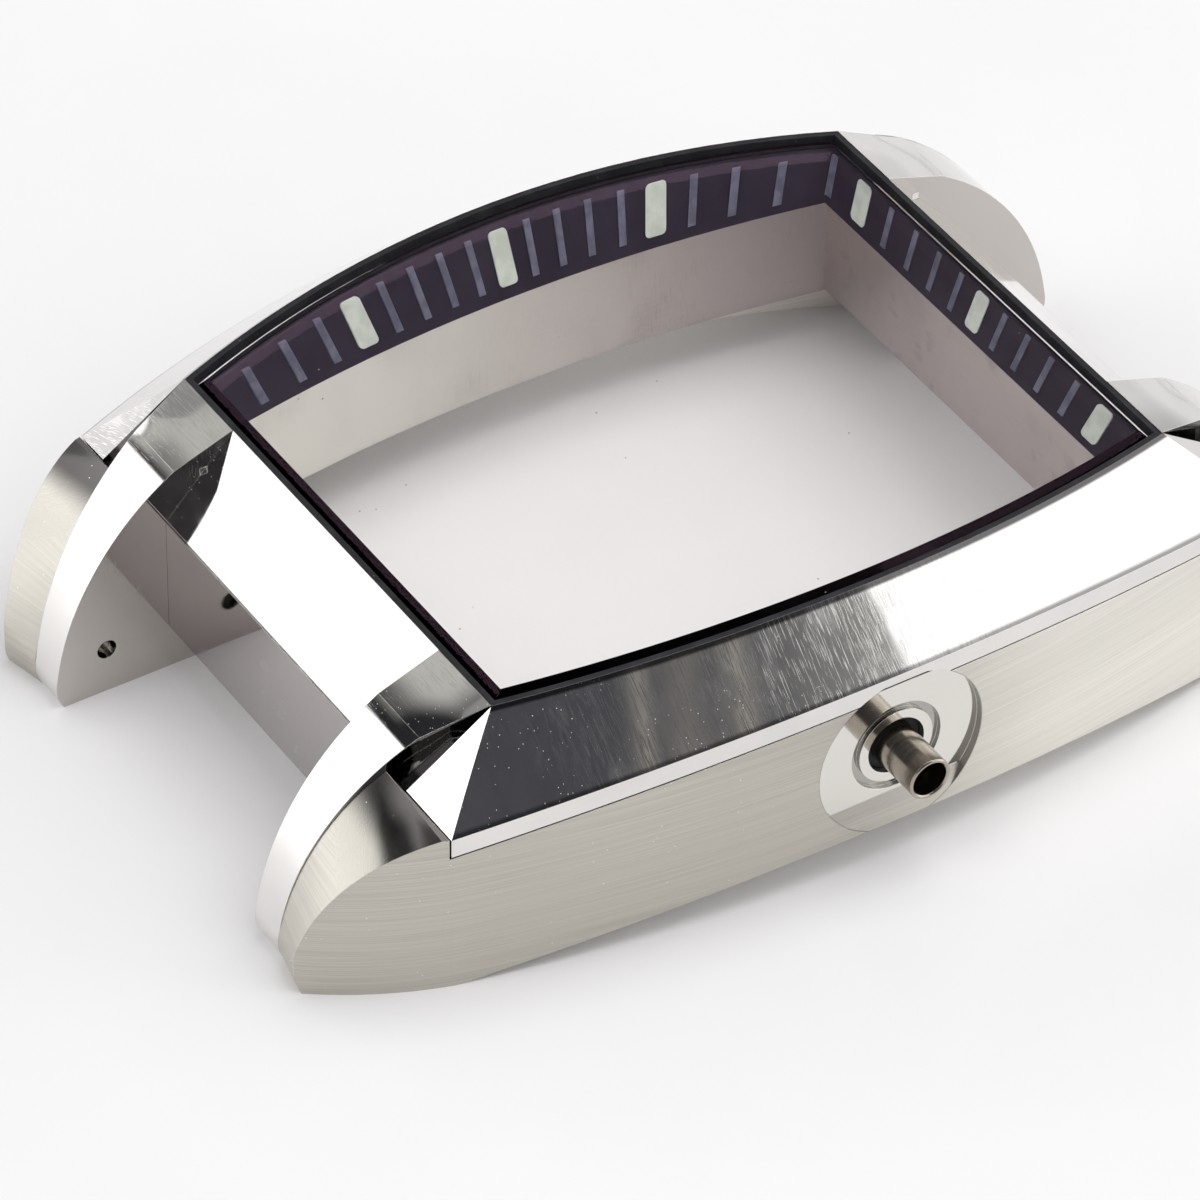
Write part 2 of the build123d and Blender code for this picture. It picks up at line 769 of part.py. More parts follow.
with BuildPart() as gasket_foot_ring:
    with BuildSketch():
        add(glass_outline(fit_gap))
        add(glass_outline(gasket_foot_width), mode=Mode.SUBTRACT)
    extrude(amount=tall)
    with BuildSketch(Plane.YZ):
        add(arched_band(gasket_foot_top, glass_seat_depth - fit_gap))
    extrude(amount=cut_overrun, both=True, mode=Mode.INTERSECT)

with BuildPart() as crystal_gasket:
    add(gasket_wall_ring.part)
    add(gasket_foot_ring.part)
crystal_gasket.part.label = "crystal_gasket"
export_step(crystal_gasket.part, "parts/crystal_gasket.step")

# Bezel gasket
with BuildPart() as bezel_gasket:
    with BuildSketch(Plane.XY.offset(middle_top - bezel_gasket_height)):
        add(glass_outline(bezel_gasket_outer + fit_gap))
        add(glass_outline(bezel_gasket_inner - fit_gap), mode=Mode.SUBTRACT)
    extrude(amount=bezel_gasket_height - fit_gap)
bezel_gasket.part.label = "bezel_gasket"
export_step(bezel_gasket.part, "parts/bezel_gasket.step")

# Inner flange ring, its sloped face opens from the movement's mouth to the glass
flange_top_height = glass_middle_height - flange_top_depth
flange_corner_rise = glass_corner_height - flange_top_depth - middle_top
flange_spread = (flange_top_height - middle_top) / flange_corner_rise
flange_lip_x = glass_half_width - glass_seat_width - flange_rim
flange_lip_y = glass_half_length - glass_seat_width - flange_rim
flange_lip_middle = glass_middle_width - glass_seat_width - flange_rim
flange_top_x = opening_half_width + flange_spread * (flange_lip_x - opening_half_width)
flange_top_y = opening_half_length + flange_spread * (flange_lip_y - opening_half_length)


def flange_space(inset):
    """Space inside the flange, made smaller by an inset"""
    with BuildPart() as space:
        with BuildSketch(Plane.XY.offset(middle_top)):
            add(bulged_outline(opening_half_width - inset, opening_half_length - inset, opening_bulge))
        with BuildSketch(Plane.XY.offset(flange_top_height)):
            add(bulged_outline(flange_top_x - inset, flange_top_y - inset, flange_lip_middle - flange_top_x))
        loft(ruled=True)
    return space.part


with BuildPart() as flange_ring:
    with BuildSketch(Plane.XY.offset(flange_foot_height)):
        add(glass_outline(flange_inset))
    extrude(amount=tall)
    with BuildSketch(Plane.XY.offset(middle_top)):
        add(bulged_outline(cavity_half_width - fit_gap, cavity_half_length - fit_gap, opening_bulge))
    extrude(amount=middle_collar_height)
    with BuildSketch(Plane.YZ):
        add(arched_band(flange_top_depth, cut_overrun))
    extrude(amount=cut_overrun, both=True, mode=Mode.INTERSECT)
    add(flange_space(0), mode=Mode.SUBTRACT)
flange_ring.part.label = "flange_ring"
export_step(flange_ring.part, "parts/flange_ring.step")

# Marks on the flange, each a thin plate cut from a shell on its sloped face
with BuildPart() as mark_shell:
    add(flange_space(0))
    add(flange_space(mark_thickness), mode=Mode.SUBTRACT)


mark_start = opening_half_width - hour_block_width


def mark_plane(number):
    """Upright plane on the way from the centre to a minute mark, and the flange's height there"""
    angle = radians(number * minute_angle)
    side_reach = abs(sin(angle)) / (opening_half_width + opening_bulge)
    end_reach = abs(cos(angle)) / opening_half_length
    local_height = glass_height(cos(angle) / max(side_reach, end_reach)) - flange_top_depth - middle_top
    middle = middle_top + mark_place_share * local_height
    start = (mark_start * sin(angle), mark_start * cos(angle), middle)
    return Plane(origin=start, x_dir=(0, 0, 1), z_dir=(sin(angle), cos(angle), 0)), local_height


with BuildPart() as minute_marks:
    for number in range(minutes):
        if number % minutes_per_hour != 0:
            plane, local_height = mark_plane(number)
            with BuildSketch(plane):
                Rectangle(mark_length_share * local_height, minute_mark_width)
    extrude(amount=cut_overrun)
    add(mark_shell.part, mode=Mode.INTERSECT)
minute_marks.part.label = "minute_marks"
export_step(minute_marks.part, "parts/minute_marks.step")

with BuildPart() as hour_blocks:
    for number in range(0, minutes, minutes_per_hour):
        plane, local_height = mark_plane(number)
        with BuildSketch(plane):
            RectangleRounded(mark_length_share * local_height, hour_block_width, hour_block_corner)
    extrude(amount=cut_overrun)
    add(mark_shell.part, mode=Mode.INTERSECT)
hour_blocks.part.label = "hour_blocks"
export_step(hour_blocks.part, "parts/hour_blocks.step")

# Crown tube
with BuildPart() as crown_tube:
    with BuildSketch(Plane.YZ.offset(tube_inner_end)):
        with Locations((0, tube_height)):
            Circle(tube_radius)
            Circle(tube_bore_radius, mode=Mode.SUBTRACT)
    extrude(amount=tube_outer_end - tube_inner_end)
    chamfer(crown_tube.faces().sort_by(Axis.X)[-1].edges(), length=tube_lip_bevel)
crown_tube.part.label = "crown_tube"
export_step(crown_tube.part, "parts/crown_tube.step")

# Seal ring round the crown tube
with BuildPart() as crown_tube_seal:
    with BuildSketch(Plane.YZ.offset(pocket_floor_x - seal_well_depth)):
        with Locations((0, tube_height)):
            Circle(seal_well_radius - fit_gap)
            Circle(tube_radius + fit_gap, mode=Mode.SUBTRACT)
    extrude(amount=seal_thickness)
crown_tube_seal.part.label = "crown_tube_seal"
export_step(crown_tube_seal.part, "parts/crown_tube_seal.step")


def slotted_screws(places, bearing, tip):
    """Slotted screws standing head down, from the height of the bearing face to the tip"""
    with BuildPart() as screws:
        with BuildSketch(Plane.XY.offset(bearing)):
            with Locations(*places):
                Circle(screw_shank_radius)
        extrude(amount=tip - bearing)
        with BuildSketch(Plane.XY.offset(bearing)):
            with Locations(*places):
                Circle(screw_head_radius)
        extrude(amount=-screw_head_height)
        with BuildSketch(Plane.XY.offset(bearing - screw_head_height)):
            with Locations(*places):
                Rectangle(2 * screw_head_radius, screw_slot_width)
        extrude(amount=screw_slot_depth, mode=Mode.SUBTRACT)
    return screws.part


# Screws that hold the case middle to the bezel
with BuildPart() as case_middle_screws:
    add(
        slotted_screws(
            (
                (middle_screw_x, middle_screw_y),
                (-middle_screw_x, middle_screw_y),
                (middle_screw_x, -middle_screw_y),
                (-middle_screw_x, -middle_screw_y),
            ),
            screw_head_recess,
            middle_screw_tip,
        )
    )
case_middle_screws.part.label = "case_middle_screws"
export_step(case_middle_screws.part, "parts/case_middle_screws.step")

# Screws that hold each cheek to the bezel
with BuildPart() as cheek_screws_right:
    add(
        slotted_screws(
            ((cheek_screw_x, cheek_screw_y), (cheek_screw_x, -cheek_screw_y)),
            cheek_screw_head_height,
            cheek_screw_tip,
        )
    )
cheek_screws_right.part.label = "cheek_screws_right"
export_step(cheek_screws_right.part, "parts/cheek_screws_right.step")

with BuildPart() as cheek_screws_left:
    mirror(cheek_screws_right.part, about=Plane.YZ)
cheek_screws_left.part.label = "cheek_screws_left"
export_step(cheek_screws_left.part, "parts/cheek_screws_left.step")

# Dowels between the case middle and the cheeks
with BuildPart() as cheek_dowels:
    with BuildSketch(Plane.YZ.offset(cheek_dowel_start)):
        with Locations((cheek_dowel_y, cheek_dowel_height), (-cheek_dowel_y, cheek_dowel_height)):
            Circle(dowel_radius)
    extrude(amount=cheek_dowel_end - cheek_dowel_start)
    mirror(about=Plane.YZ)
cheek_dowels.part.label = "cheek_dowels"
export_step(cheek_dowels.part, "parts/cheek_dowels.step")

# Dowels between the cheeks and the lug bands
with BuildPart() as lug_dowels:
    with BuildSketch(Plane.YZ.offset(lug_dowel_start)):
        with Locations(
            (lug_dowel_y, lug_dowel_low),
            (lug_dowel_y, lug_dowel_high),
            (-lug_dowel_y, lug_dowel_low),
            (-lug_dowel_y, lug_dowel_high),
        ):
            Circle(dowel_radius)
    extrude(amount=lug_dowel_end - lug_dowel_start)
    mirror(about=Plane.YZ)
lug_dowels.part.label = "lug_dowels"
export_step(lug_dowels.part, "parts/lug_dowels.step")
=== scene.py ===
import json
import math

import bmesh
import bpy
from mathutils import Matrix, Vector

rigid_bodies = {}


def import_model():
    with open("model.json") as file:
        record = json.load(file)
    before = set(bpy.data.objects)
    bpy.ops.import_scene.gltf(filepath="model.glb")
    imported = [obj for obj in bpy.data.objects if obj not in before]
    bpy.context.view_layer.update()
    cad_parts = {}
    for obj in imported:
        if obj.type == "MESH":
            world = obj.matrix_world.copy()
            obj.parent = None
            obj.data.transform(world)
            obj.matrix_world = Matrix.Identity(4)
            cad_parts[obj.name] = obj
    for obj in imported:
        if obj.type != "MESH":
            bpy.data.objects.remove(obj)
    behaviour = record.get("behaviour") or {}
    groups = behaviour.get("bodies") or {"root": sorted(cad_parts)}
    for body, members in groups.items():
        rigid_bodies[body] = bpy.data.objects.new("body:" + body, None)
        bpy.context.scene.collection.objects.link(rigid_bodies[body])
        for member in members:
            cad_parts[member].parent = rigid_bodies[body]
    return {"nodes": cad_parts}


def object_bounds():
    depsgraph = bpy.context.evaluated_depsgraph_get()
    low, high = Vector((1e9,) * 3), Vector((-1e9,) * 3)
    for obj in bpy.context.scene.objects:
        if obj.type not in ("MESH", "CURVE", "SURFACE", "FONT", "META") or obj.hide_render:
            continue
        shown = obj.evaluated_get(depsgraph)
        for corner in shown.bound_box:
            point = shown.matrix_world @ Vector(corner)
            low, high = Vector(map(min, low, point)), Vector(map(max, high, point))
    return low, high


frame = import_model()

# Looks of an empty wristwatch case. All lengths are in metres.
MM = 0.001
scene = bpy.context.scene
cad = frame["nodes"]

# Lug bands: the crease, and where the surface before and behind it leans
CREASE_Y = 21.15 * MM
CREASE_STEP = 0.001 * MM
TONGUE_LOW, TONGUE_HIGH = 7.6 * MM, 8.2 * MM
TONGUE_START = 18.9 * MM
TONGUE_LEAN, TOE_LEAN, SIDE_LEAN = 0.15, -0.13, 0.12
TOE_LEAN_RUN, SIDE_LEAN_RUN = 0.9 * MM, 0.5 * MM
SIDE_LEAN_INNER, SIDE_LEAN_OUTER = 10.2 * MM, 13.6 * MM
# Where the painted shade on the lug bands' outer side fades out
LUG_SIDE_NEAR, LUG_SIDE_FAR = 23.0 * MM, 26.0 * MM

# Painted shade in the notch between the bezel's end and the lugs
NOTCH_START, NOTCH_END = 18.4 * MM, 18.6 * MM
NOTCH_INNER, NOTCH_OUTER = 9.0 * MM, 13.4 * MM
NOTCH_LOW, NOTCH_HIGH = 6.24 * MM, 7.2 * MM
NOTCH_HEIGHT_SOFT = 0.1 * MM
NOTCH_SOFT = 0.02 * MM

# Arcs that the upper and lower edge of the bezel's slopes follow: centre and radius
UPPER_EDGE = (-44.13 * MM, 60.28 * MM)
LOWER_EDGE = (-117.04 * MM, 125.24 * MM)
# Width of the painted dark reflection along the upper and lower edge: full up to the first distance beyond
# the arc, gone from the second
UPPER_RIM = (0.14 * MM, 0.26 * MM)
LOWER_RIM = (0.06 * MM, 0.2 * MM)

# Stretch of the bezel that is scratched most
BUSY_FROM, BUSY_TO, BUSY_SOFT = -5 * MM, 9 * MM, 4 * MM

# Crown pocket with its groove, the painted shade on the shoulder of the cheeks' lugs, and the stretch
# painted lighter
POCKET_CENTRE = (18.8 * MM, 0.0, 3.5 * MM)
POCKET_RADIUS = 4.38 * MM
POCKET_INNER_X = 17.4 * MM
POCKET_SOFT = 0.02 * MM
GROOVE_RADIUS = 1.97 * MM
SHOULDER_FROM, SHOULDER_TO, SHOULDER_SOFT = 19.5 * MM, 23.5 * MM, 1.3 * MM
# Stretch along y over which the flank is painted lighter
LIT_FLANK_FROM, LIT_FLANK_TO = -3 * MM, 10 * MM

# Radius by which shading rounds the sharp edges
LUG_ROUNDING = 0.05 * MM
STEEL_ROUNDING = 0.035 * MM
CHEEK_ROUNDING = 0.05 * MM
TURNED_ROUNDING = 0.03 * MM
SOFT_ROUNDING = 0.05 * MM
FLANGE_ROUNDING = 0.04 * MM

# Depth of the relief on each surface
POLISH_RELIEF = 0.0014 * MM
BRUSHED_RELIEF = 0.0018 * MM
TURNED_RELIEF = 0.0008 * MM
RUBBER_RELIEF = 0.004 * MM
FLANGE_RELIEF = 0.0025 * MM
PAINT_RELIEF = 0.006 * MM
FLOOR_RELIEF = 0.001 * MM

# Features of each texture, counted per metre along x, y and z
HAIRLINES_ACROSS = (900, 24000, 900)
SCRATCHES_ACROSS = (800, 26000, 800)
SCRATCH_PATCHES = (210, 170, 210)
SPECK_PATCHES = (260, 170, 260)
SMUDGES = (190, 190, 240)
FILM = (300, 480, 300)
WEAR = (500, 500, 500)
TURNED_WALL = (900, 900, 15000)
BRUSH_FINE = (24000, 110)
BRUSH_COARSE = (9500, 30)
BRUSH_CLOUDS = (150, 110, 200)
CHEEK_MARKS = (9000, 500, 1500)
RINGS_ALONG, RINGS_ROUND = 16000, 600
TURNED_CLOUDS = (500, 500, 500)
RUBBER_GRAIN = (9000, 9000, 9000)
RUBBER_BLOOM = (700, 700, 700)
FLANGE_GRAIN = (5200, 5200, 5200)
FLANGE_CLOUDS = (230, 230, 230)
PAINT_GRAIN = (7000, 7000, 7000)
PAINT_CLOUDS = (1300, 1300, 1300)
GLASS_SMEARS = (120, 160, 120)
PAPER_CLOUDS = (35, 35, 35)
PAPER_GRAIN = (2500, 2500, 2500)
CARD_CLOUDS = (9.0, 9.0, 9.0)

# Colours
POLISH_BRIGHT, POLISH_DULL = (0.80, 0.785, 0.765, 1), (0.74, 0.73, 0.71, 1)
SPECK = (0.9, 0.89, 0.87, 1)
SHADE = (0.045, 0.042, 0.045, 1)
LUG_INNER_SHADE = (0.53, 0.495, 0.46, 1)
LINING_LIT, LINING_SHADED = (0.72, 0.71, 0.65, 1), (0.43, 0.385, 0.37, 1)
END_WALL_SHADE = (0.40, 0.365, 0.37, 1)
BRUSHED_DARK, BRUSHED_LIGHT = (0.46, 0.44, 0.395, 1), (0.61, 0.585, 0.525, 1)
BRUSHED_CLOUD = (0.56, 0.54, 0.49, 1)
LIT_FLANK_DARK, LIT_FLANK_LIGHT = (0.73, 0.71, 0.65, 1), (0.87, 0.85, 0.785, 1)
SHOULDER_SHADE = (0.07, 0.066, 0.066, 1)
POCKET_FLOOR, GROOVE_SHADE, POCKET_WALL_SHADE = (0.76, 0.745, 0.70, 1), (0.09, 0.085, 0.08, 1), (0.16, 0.15, 0.135, 1)
CHEEK_EDGE, TURNED_EDGE = (0.85, 0.84, 0.82, 1), (0.78, 0.74, 0.68, 1)
TUBE_DARK, TUBE_LIGHT = (0.36, 0.32, 0.275, 1), (0.47, 0.425, 0.37, 1)
SCREW_DARK, SCREW_LIGHT = (0.50, 0.49, 0.47, 1), (0.66, 0.65, 0.62, 1)
RUBBER_DARK, RUBBER_LIGHT = (0.016, 0.016, 0.019, 1), (0.030, 0.029, 0.034, 1)
RUBBER_SPECK = (0.35, 0.34, 0.34, 1)
FLANGE_DARK, FLANGE_LIGHT = (0.012, 0.010, 0.021, 1), (0.024, 0.020, 0.036, 1)
FLANGE_GLINT, FLANGE_EDGE = (0.06, 0.052, 0.08, 1), (0.11, 0.09, 0.12, 1)
HOUR_DARK, HOUR_LIGHT, HOUR_EDGE = (0.62, 0.68, 0.60, 1), (0.74, 0.80, 0.72, 1), (0.84, 0.88, 0.82, 1)
MARK_DARK, MARK_LIGHT, MARK_EDGE = (0.10, 0.11, 0.16, 1), (0.17, 0.18, 0.25, 1), (0.26, 0.27, 0.34, 1)
GLASS_CLEAR, GLASS_SHADOW = (0.985, 0.982, 0.978, 1), (0.95, 0.94, 0.94, 1)
COATING, COATING_GRAZED = (1.0, 0.62, 0.9, 1), (0.96, 0.96, 1.0, 1)
GLASS_DUST = (0.32, 0.28, 0.25, 1)
PAPER_DARK, PAPER_LIGHT = (0.905, 0.898, 0.904, 1), (0.925, 0.921, 0.926, 1)
CARD_PALE, CARD_GLOW = (0.62, 0.62, 0.585, 1), (0.52, 0.49, 0.42, 1)
CARD_DARK, CARD_BLACK = (0.045, 0.045, 0.055, 1), (0.008, 0.008, 0.011, 1)
SKY_LOW, SKY_HIGH = (0.90, 0.89, 0.90, 1), (0.32, 0.315, 0.32, 1)

for left_over in [o for o in bpy.data.objects if o.name in ("Cube", "Light", "Camera")]:
    bpy.data.objects.remove(left_over)
bpy.context.view_layer.update()
cad_box = [list(corner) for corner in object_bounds()]


class Finish:
    """A material whose nodes are written as short calls"""

    def __init__(self, name):
        self.material = bpy.data.materials.new(name)
        self.material.use_nodes = True
        self.tree = self.material.node_tree
        self.tree.nodes.clear()
        self.output = self.tree.nodes.new("ShaderNodeOutputMaterial")
        self.place = self.add("ShaderNodeTexCoord").outputs["Object"]
        self.facing = self.add("ShaderNodeNewGeometry").outputs["Normal"]

    def add(self, kind, inputs=None, **settings):
        made = self.tree.nodes.new(kind)
        for key, value in settings.items():
            setattr(made, key, value)
        for key, value in (inputs or {}).items():
            if isinstance(value, bpy.types.NodeSocket):
                self.tree.links.new(value, made.inputs[key])
            else:
                made.inputs[key].default_value = value
        return made

    def math(self, operation, first, second=0.0, third=0.0):
        return self.add("ShaderNodeMath", {0: first, 1: second, 2: third}, operation=operation).outputs[0]

    def product(self, first, *others):
        """Several values multiplied"""
        for other in others:
            first = self.math("MULTIPLY", first, other)
        return first

    def vector(self, operation, first, second=(0, 0, 0)):
        return self.add("ShaderNodeVectorMath", {0: first, 1: second}, operation=operation)

    def split(self, value):
        """Outputs X, Y and Z of a vector"""
        return self.add("ShaderNodeSeparateXYZ", {0: value}).outputs

    def stretch(self, scale):
        """Place on the object, counted in features per metre along each axis"""
        return self.add("ShaderNodeMapping", {"Vector": self.place, "Scale": scale}).outputs[0]

    def texture(self, spot, detail, roughness):
        inputs = {"Vector": spot, "Scale": 1.0, "Detail": detail, "Roughness": roughness}
        return self.add("ShaderNodeTexNoise", inputs).outputs[0]

    def noise(self, scale, detail=3.0, roughness=0.55):
        return self.texture(self.stretch(scale), detail, roughness)

    def grain(self, scale):
        """Brushing along the case, on flanks counted over their height and on top over their width"""
        across, along = scale
        flank = self.stretch((along, along, across))
        upper = self.stretch((across, along, along))
        level = self.remap(self.math("ABSOLUTE", self.split(self.facing)["Z"]), 0.6, 0.85)
        spot = self.add("ShaderNodeMix", {0: level, 4: flank, 5: upper}, data_type="VECTOR").outputs[1]
        return self.texture(spot, 2.0, 0.6)

    def remap(self, value, low, high, new_low=0.0, new_high=1.0):
        return self.add(
            "ShaderNodeMapRange",
            {0: value, 1: low, 2: high, 3: new_low, 4: new_high},
            interpolation_type="SMOOTHSTEP",
        ).outputs[0]

    def blend(self, share, first, second):
        """Colour between two colours"""
        made = self.add("ShaderNodeMix", {0: share, 6: first, 7: second}, data_type="RGBA")
        return made.outputs[2]

    def bump(self, height, distance, normal=None, strength=1.0):
        inputs = {"Height": height, "Distance": distance, "Strength": strength}
        if normal is not None:
            inputs["Normal"] = normal
        return self.add("ShaderNodeBump", inputs).outputs[0]

    def beyond_arc(self, across, along, arc):
        """Distance beyond an arc that runs along the case"""
        centre, radius = arc
        offset = self.math("SUBTRACT", across, centre)
        squares = self.math("MULTIPLY_ADD", along, along, self.math("MULTIPLY", offset, offset))
        return self.math("SUBTRACT", self.math("SQRT", squares), radius)

    def lifted(self):
        """Mask that is 1 where the surface looks up"""
        return self.remap(self.split(self.facing)["Z"], 0.6, 0.85)

    def sloped(self):
        """Mask that is 1 where the surface is slanted to the side"""
        facing = self.split(self.facing)
        steep = self.inside(facing["Z"], 0.45, 0.95, 0.03)
        return self.math("MULTIPLY", steep, self.remap(self.math("ABSOLUTE", facing["Y"]), 0.45, 0.4))

    def rounded(self, radius):
        """Normal that rounds sharp edges, and a mask that is 1 on the edge"""
        normal = self.add("ShaderNodeBevel", {0: radius}, samples=4).outputs[0]
        flat = self.vector("DOT_PRODUCT", normal, self.facing)
        return normal, self.remap(flat.outputs["Value"], 0.995, 0.9)

    def hairlines(self, scale, low, high):
        """Mask of thin scratches that run the way the scale is small"""
        lines = self.remap(self.noise(scale, 1.0), low, high)
        patches = self.remap(self.noise(SCRATCH_PATCHES, 2.0), 0.44, 0.6)
        return self.math("MULTIPLY", lines, patches)

    def dust(self, cell, size, share):
        """Mask of small round specks, scattered in patches"""
        spots = self.add("ShaderNodeTexVoronoi", {"Vector": self.stretch((cell, cell, cell)), "Scale": 1.0})
        near = self.remap(spots.outputs[0], size * 0.6, size, 1.0, 0.0)
        chosen = self.add("ShaderNodeSeparateColor", {0: spots.outputs[1]}).outputs[0]
        return self.math("MULTIPLY", near, self.remap(chosen, 1.0 - share, 1.02 - share))

    def inside(self, value, low, high, soft):
        """Mask that is 1 where a value lies between two limits"""
        above = self.remap(value, low - soft, low)
        below = self.remap(value, high, high + soft, 1.0, 0.0)
        return self.math("MULTIPLY", above, below)

    def principled(self, inputs):
        shader = self.add("ShaderNodeBsdfPrincipled", inputs)
        self.tree.links.new(shader.outputs[0], self.output.inputs["Surface"])
        return shader


def leaning(f, spot, reach, span, normal):
    """Normal of a lug band, which leans more and more towards the crease and the outer edge"""
    high = f.product(f.remap(spot["Z"], TONGUE_LOW, TONGUE_HIGH), f.lifted())
    before = f.product(
        f.remap(reach, TONGUE_START, CREASE_Y, 0.0, TONGUE_LEAN),
        f.remap(reach, CREASE_Y + CREASE_STEP, CREASE_Y),
    )
    behind = f.product(
        f.remap(reach, CREASE_Y, CREASE_Y + TOE_LEAN_RUN, TOE_LEAN, 0.0),
        f.remap(reach, CREASE_Y, CREASE_Y + CREASE_STEP),
    )
    along = f.product(f.math("ADD", before, behind), high)
    across = f.product(
        f.remap(span, SIDE_LEAN_INNER, SIDE_LEAN_OUTER, 0.0, SIDE_LEAN),
        high,
        f.remap(reach, CREASE_Y, CREASE_Y + SIDE_LEAN_RUN, 1.0, 0.0),
    )
    sideways = f.product(across, f.math("SIGN", spot["X"]))
    lengthways = f.product(along, f.math("SIGN", spot["Y"]))
    lean = f.add("ShaderNodeCombineXYZ", {0: sideways, 1: lengthways}).outputs[0]
    return f.vector("NORMALIZE", f.vector("ADD", normal, lean).outputs[0]).outputs[0]


def notch_shade_mask(f, spot, reach, span):
    """Mask of the painted shade in the notch between the bezel's end and the lugs"""
    return f.product(
        f.remap(reach, NOTCH_START, NOTCH_END),
        f.remap(span, NOTCH_OUTER + NOTCH_SOFT, NOTCH_OUTER - NOTCH_SOFT),
        f.remap(spot["Z"], NOTCH_HIGH + NOTCH_HEIGHT_SOFT, NOTCH_HIGH - NOTCH_HEIGHT_SOFT),
        f.remap(spot["Z"], NOTCH_LOW - NOTCH_SOFT, NOTCH_LOW + NOTCH_SOFT),
        f.remap(span, NOTCH_INNER - NOTCH_SOFT, NOTCH_INNER + NOTCH_SOFT),
    )


def rim_shade_mask(f, spot, span):
    """Mask of the painted dark reflection along both edges of the bezel's slopes"""
    upper = f.remap(f.beyond_arc(span, spot["Y"], UPPER_EDGE), *UPPER_RIM, 0.9, 0.0)
    lower = f.remap(f.beyond_arc(spot["Z"], spot["Y"], LOWER_EDGE), *LOWER_RIM, 0.7, 0.0)
    return f.product(f.math("MAXIMUM", upper, lower), f.sloped())


def lug_side_shade_masks(f, spot, reach):
    """Masks of painted shade on the lug bands' outer side, beside the cheek, and of a painted darker tone on
    their inner side
    """
    outward = f.product(f.split(f.facing)["X"], f.math("SIGN", spot["X"]))
    fading = f.remap(reach, LUG_SIDE_NEAR, LUG_SIDE_FAR, 0.85, 0.3)
    return f.product(f.remap(outward, 0.7, 0.9), fading), f.remap(outward, -0.7, -0.9)


def polished_steel(name, bezel=False, crease=False, satin_inside=False):
    """Mirror steel with wipe marks, smudges and dust, and painted shade in the notch, on the bezel's rims,
    on the lug bands' sides and on the case middle's lining and end walls
    """
    f = Finish(name)
    spot = f.split(f.place)
    reach = f.math("ABSOLUTE", spot["Y"])
    span = f.math("ABSOLUTE", spot["X"])
    normal, edge = f.rounded(LUG_ROUNDING if crease else STEEL_ROUNDING)
    if crease:
        normal = leaning(f, spot, reach, span, normal)
    wipes = f.hairlines(HAIRLINES_ACROSS, 0.58, 0.68)
    specks = f.dust(5200.0, 0.12, 0.6)
    specks = f.product(specks, f.remap(f.noise(SPECK_PATCHES, 2.0), 0.42, 0.58))
    if bezel:
        busy = f.math("MULTIPLY_ADD", f.inside(spot["Y"], BUSY_FROM, BUSY_TO, BUSY_SOFT), 0.6, 0.4)
        fine = f.remap(f.noise(SCRATCHES_ACROSS, 1.0), 0.57, 0.68)
        wipes = f.math("MAXIMUM", f.product(wipes, 0.6), f.product(busy, f.sloped(), fine))
    smudge = f.noise(SMUDGES, 3.0)
    film = f.remap(f.noise(FILM, 3.0, 0.5), 0.46, 0.86)
    worn = f.product(edge, f.remap(f.noise(WEAR, 1.0), 0.42, 0.6))
    rough = f.remap(smudge, 0.4, 0.75, 0.04, 0.085)
    rough = f.math("MULTIPLY_ADD", wipes, 0.05 if crease else 0.22, rough)
    rough = f.math("MULTIPLY_ADD", film, 0.03 if crease else 0.22, rough)
    rough = f.math("MULTIPLY_ADD", worn, 0.12, rough)
    rough = f.math("MULTIPLY_ADD", specks, 0.5, rough)
    tone = f.blend(f.remap(smudge, 0.35, 0.75), POLISH_BRIGHT, POLISH_DULL)
    tone = f.blend(f.product(specks, 0.8), tone, SPECK)
    height = f.math("MULTIPLY_ADD", wipes, -0.45, f.product(specks, 1.6))
    if crease:
        # Painted shade on the lug bands' outer and inner side
        shade, inner = lug_side_shade_masks(f, spot, reach)
        tone = f.blend(f.product(inner, 0.8), tone, LUG_INNER_SHADE)
    else:
        # Painted shade in the notch between the bezel's end and the lugs
        shade = f.product(notch_shade_mask(f, spot, reach, span), 0.85)
    if bezel:
        # Painted dark reflection along the edges of the bezel's slopes
        shade = f.math("MAXIMUM", shade, rim_shade_mask(f, spot, span))
    # Painted shade: notch, lug bands' outer side and the bezel's rims
    tone = f.blend(shade, tone, SHADE)
    if satin_inside:
        satin = f.remap(f.vector("DOT_PRODUCT", f.facing, f.place).outputs["Value"], -4 * MM, -6 * MM)
        turned = f.noise(TURNED_WALL, 2.0)
        rough = f.math("MULTIPLY_ADD", satin, f.remap(turned, 0.3, 0.7, 0.24, 0.36), rough)
        # Painted light and shade on the case middle's inner wall: lighter towards -y, darker and browner
        # towards +y
        shaded_lining = f.blend(f.remap(spot["Y"], -14 * MM, 15 * MM), LINING_LIT, LINING_SHADED)
        tone = f.blend(f.product(satin, 0.9), tone, shaded_lining)
        # Painted shade on the outer end walls of the case middle
        end = f.remap(f.math("ABSOLUTE", f.split(f.facing)["Y"]), 0.8, 0.95)
        tone = f.blend(f.product(end, f.math("SUBTRACT", 1.0, satin), 0.9), tone, END_WALL_SHADE)
        height = f.math("MULTIPLY_ADD", satin, f.product(turned, 1.2), height)
    f.principled(
        {
            "Base Color": tone,
            "Metallic": 1.0,
            "Roughness": rough,
            "Normal": f.bump(height, POLISH_RELIEF, normal),
        }
    )
    return f.material


